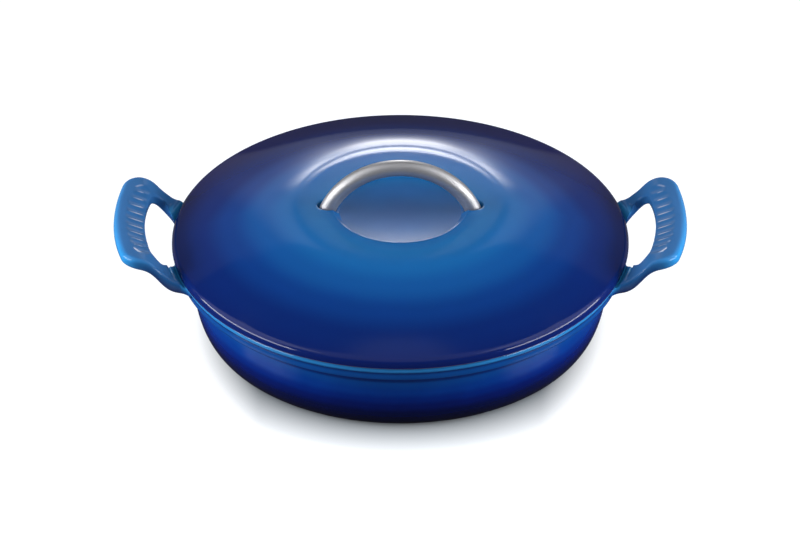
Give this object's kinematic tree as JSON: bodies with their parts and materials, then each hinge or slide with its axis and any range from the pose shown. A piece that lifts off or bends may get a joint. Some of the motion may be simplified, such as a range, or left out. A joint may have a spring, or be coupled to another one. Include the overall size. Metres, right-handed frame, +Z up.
{
  "type": "enamelled cast iron pot",
  "caption": "Shallow round cast iron casserole in graded blue enamel, with a domed lid that lifts off by a bent steel bar and a ribbed loop handle cast on each side.",
  "frame": {"origin": "on the floor under the axis of the pot and lid", "axes": "+X through the right-hand loop handle, +Y away from the viewer, +Z up along the pot's axis"},
  "size_m": [0.3864, 0.308, 0.1289],
  "materials": {
    "pot_enamel": "glossy blue vitreous enamel, light at the rim and handles and dark at the foot",
    "lid_enamel": "glossy blue vitreous enamel, light in the middle and dark indigo at the edge",
    "bar_steel": "satin stainless steel",
    "fixing_steel": "plain stainless steel"
  },
  "bodies": {
    "pot": {"pot_casting": "pot_enamel"},
    "lid": {"lid_casting": "lid_enamel", "lid_bar": "bar_steel", "bar_screw_left": "fixing_steel", "bar_screw_right": "fixing_steel", "flat_washer_left": "fixing_steel", "flat_washer_right": "fixing_steel", "spring_washer_left": "fixing_steel", "spring_washer_right": "fixing_steel"}
  },
  "joints": [
    {"name": "lid_lift", "type": "slide", "parent": "pot", "child": "lid", "axis": [0, 0, 1], "range_m": [0, 0.15]}
  ]
}
